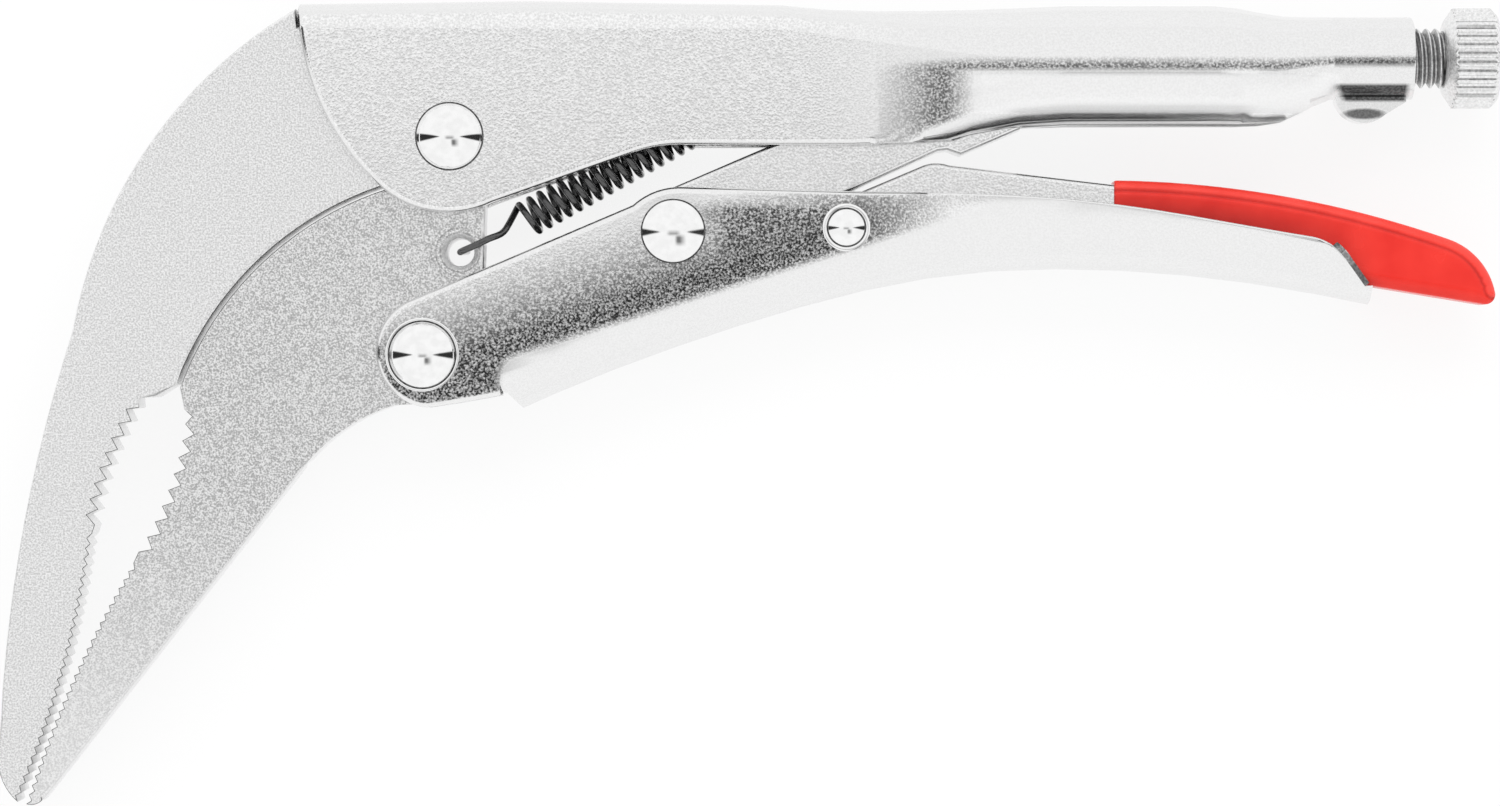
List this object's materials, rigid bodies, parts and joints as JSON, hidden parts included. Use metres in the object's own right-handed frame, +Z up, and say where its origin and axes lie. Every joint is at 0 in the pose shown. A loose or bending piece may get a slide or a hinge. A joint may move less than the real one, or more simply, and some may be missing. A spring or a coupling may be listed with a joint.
{
  "type": "locking pliers",
  "caption": "Locking pliers with long bent toothed jaws, folded sheet handles, a toggle link, a return spring, a release lever with a plastic dip, and an adjusting screw with a ridged knob.",
  "frame": {"origin": "on the surface that the pliers lie on, under the middle of their bounding box", "axes": "+X from the jaws towards the adjusting screw, +Y from the lower handle towards the upper handle, +Z up out of the surface"},
  "size_m": [0.1999, 0.1071, 0.016],
  "materials": {
    "jaw_steel": "satin plated",
    "handle_sheet": "satin nickel plated",
    "rivet_steel": "bright plated",
    "screw_steel": "bright zinc plated",
    "spring_wire": "glossy black",
    "red_dip": "glossy dipped vinyl"
  },
  "bodies": {
    "upper_handle": {"upper_handle": "handle_sheet", "fixed_jaw": "jaw_steel", "main_rivet": "rivet_steel"},
    "movable_jaw": {"movable_jaw": "jaw_steel", "return_spring": "spring_wire"},
    "lower_handle": {"lower_handle": "handle_sheet", "handle_rivet": "rivet_steel", "toggle_rivet": "rivet_steel", "release_rivet": "rivet_steel"},
    "toggle_link": {"toggle_link": "handle_sheet"},
    "release_lever": {"release_lever": "handle_sheet", "lever_grip": "red_dip"},
    "adjusting_screw": {"adjusting_screw": "screw_steel"},
    "screw_knob": {"screw_knob": "screw_steel"}
  },
  "joints": [
    {"name": "jaw_pivot", "type": "hinge", "parent": "upper_handle", "child": "movable_jaw", "pos_m": [-0.0399, 0.0354, 0.008], "axis": [0, 0, 1], "range_deg": [0, 13], "deforming": ["return_spring"]},
    {"name": "handle_pivot", "type": "hinge", "parent": "movable_jaw", "child": "lower_handle", "pos_m": [-0.0435, 0.0064, 0.008], "axis": [0, 0, 1], "range_deg": [-40.5, 0]},
    {"name": "toggle_pivot", "type": "hinge", "parent": "lower_handle", "child": "toggle_link", "pos_m": [-0.0102, 0.0228, 0.008], "axis": [0, 0, 1], "range_deg": [0, 51]},
    {"name": "release_pivot", "type": "hinge", "parent": "lower_handle", "child": "release_lever", "pos_m": [0.0128, 0.0233, 0.008], "axis": [0, 0, 1], "range_deg": [0, 4]},
    {"name": "screw_slide", "type": "slide", "parent": "upper_handle", "child": "adjusting_screw", "axis": [1, 0, 0], "range_m": [0, 0.008]},
    {"name": "knob_turn", "type": "hinge", "parent": "adjusting_screw", "child": "screw_knob", "pos_m": [0.096, 0.0461, 0.008], "axis": [1, 0, 0], "range_deg": [0, 2310]}
  ],
  "couplings": [
    {"joint": "handle_pivot", "follows": "jaw_pivot", "ratio": -3.1},
    {"joint": "toggle_pivot", "follows": "jaw_pivot", "ratio": 3.9},
    {"joint": "knob_turn", "follows": "screw_slide", "rad_per_m": 5026.5}
  ]
}
